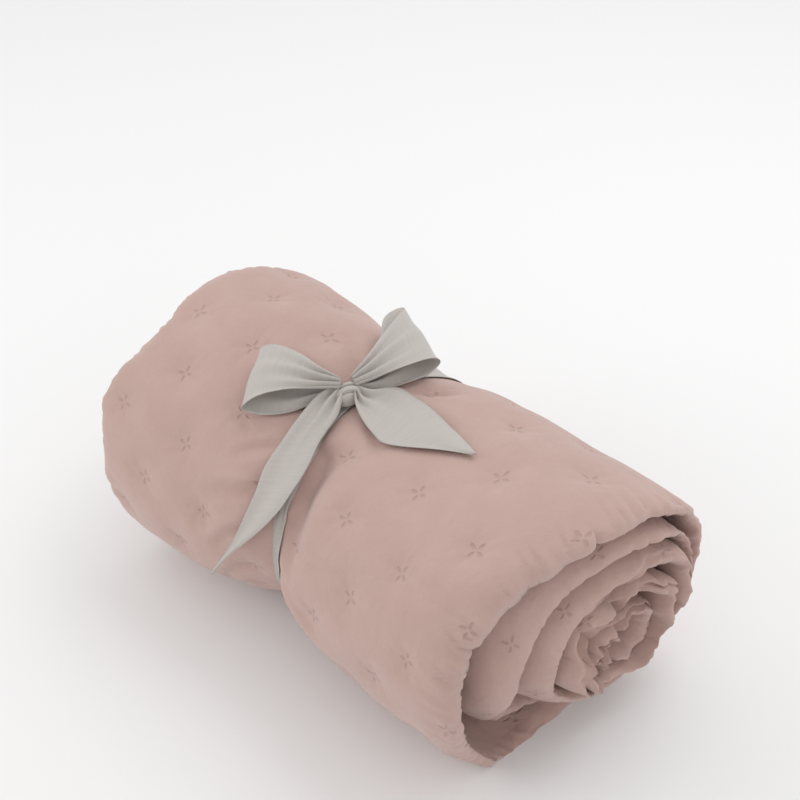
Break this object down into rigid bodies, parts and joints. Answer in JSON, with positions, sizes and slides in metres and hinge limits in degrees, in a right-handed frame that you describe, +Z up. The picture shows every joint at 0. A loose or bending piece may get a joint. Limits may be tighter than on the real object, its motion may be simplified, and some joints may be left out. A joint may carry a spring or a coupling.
{
  "type": "rolled quilt tied with a ribbon",
  "caption": "Folded quilt rolled into a soft oval roll and tied round its middle with a ribbon bow.",
  "frame": {"origin": "middle of the part's box at the level of the surface that it lies on", "axes": "+X along the roll, towards the end that shows its turns, +Y across the roll, away from the free end's side, +Z up"},
  "size_m": [0.4208, 0.2744, 0.2333],
  "materials": {
    "percale": "matt woven cotton, dusty pink",
    "taffeta": "soft sheen ribbon with fine cross ribs, warm grey"
  },
  "bodies": {
    "root": {"quilt": "percale", "ribbon": "taffeta"}
  },
  "joints": []
}
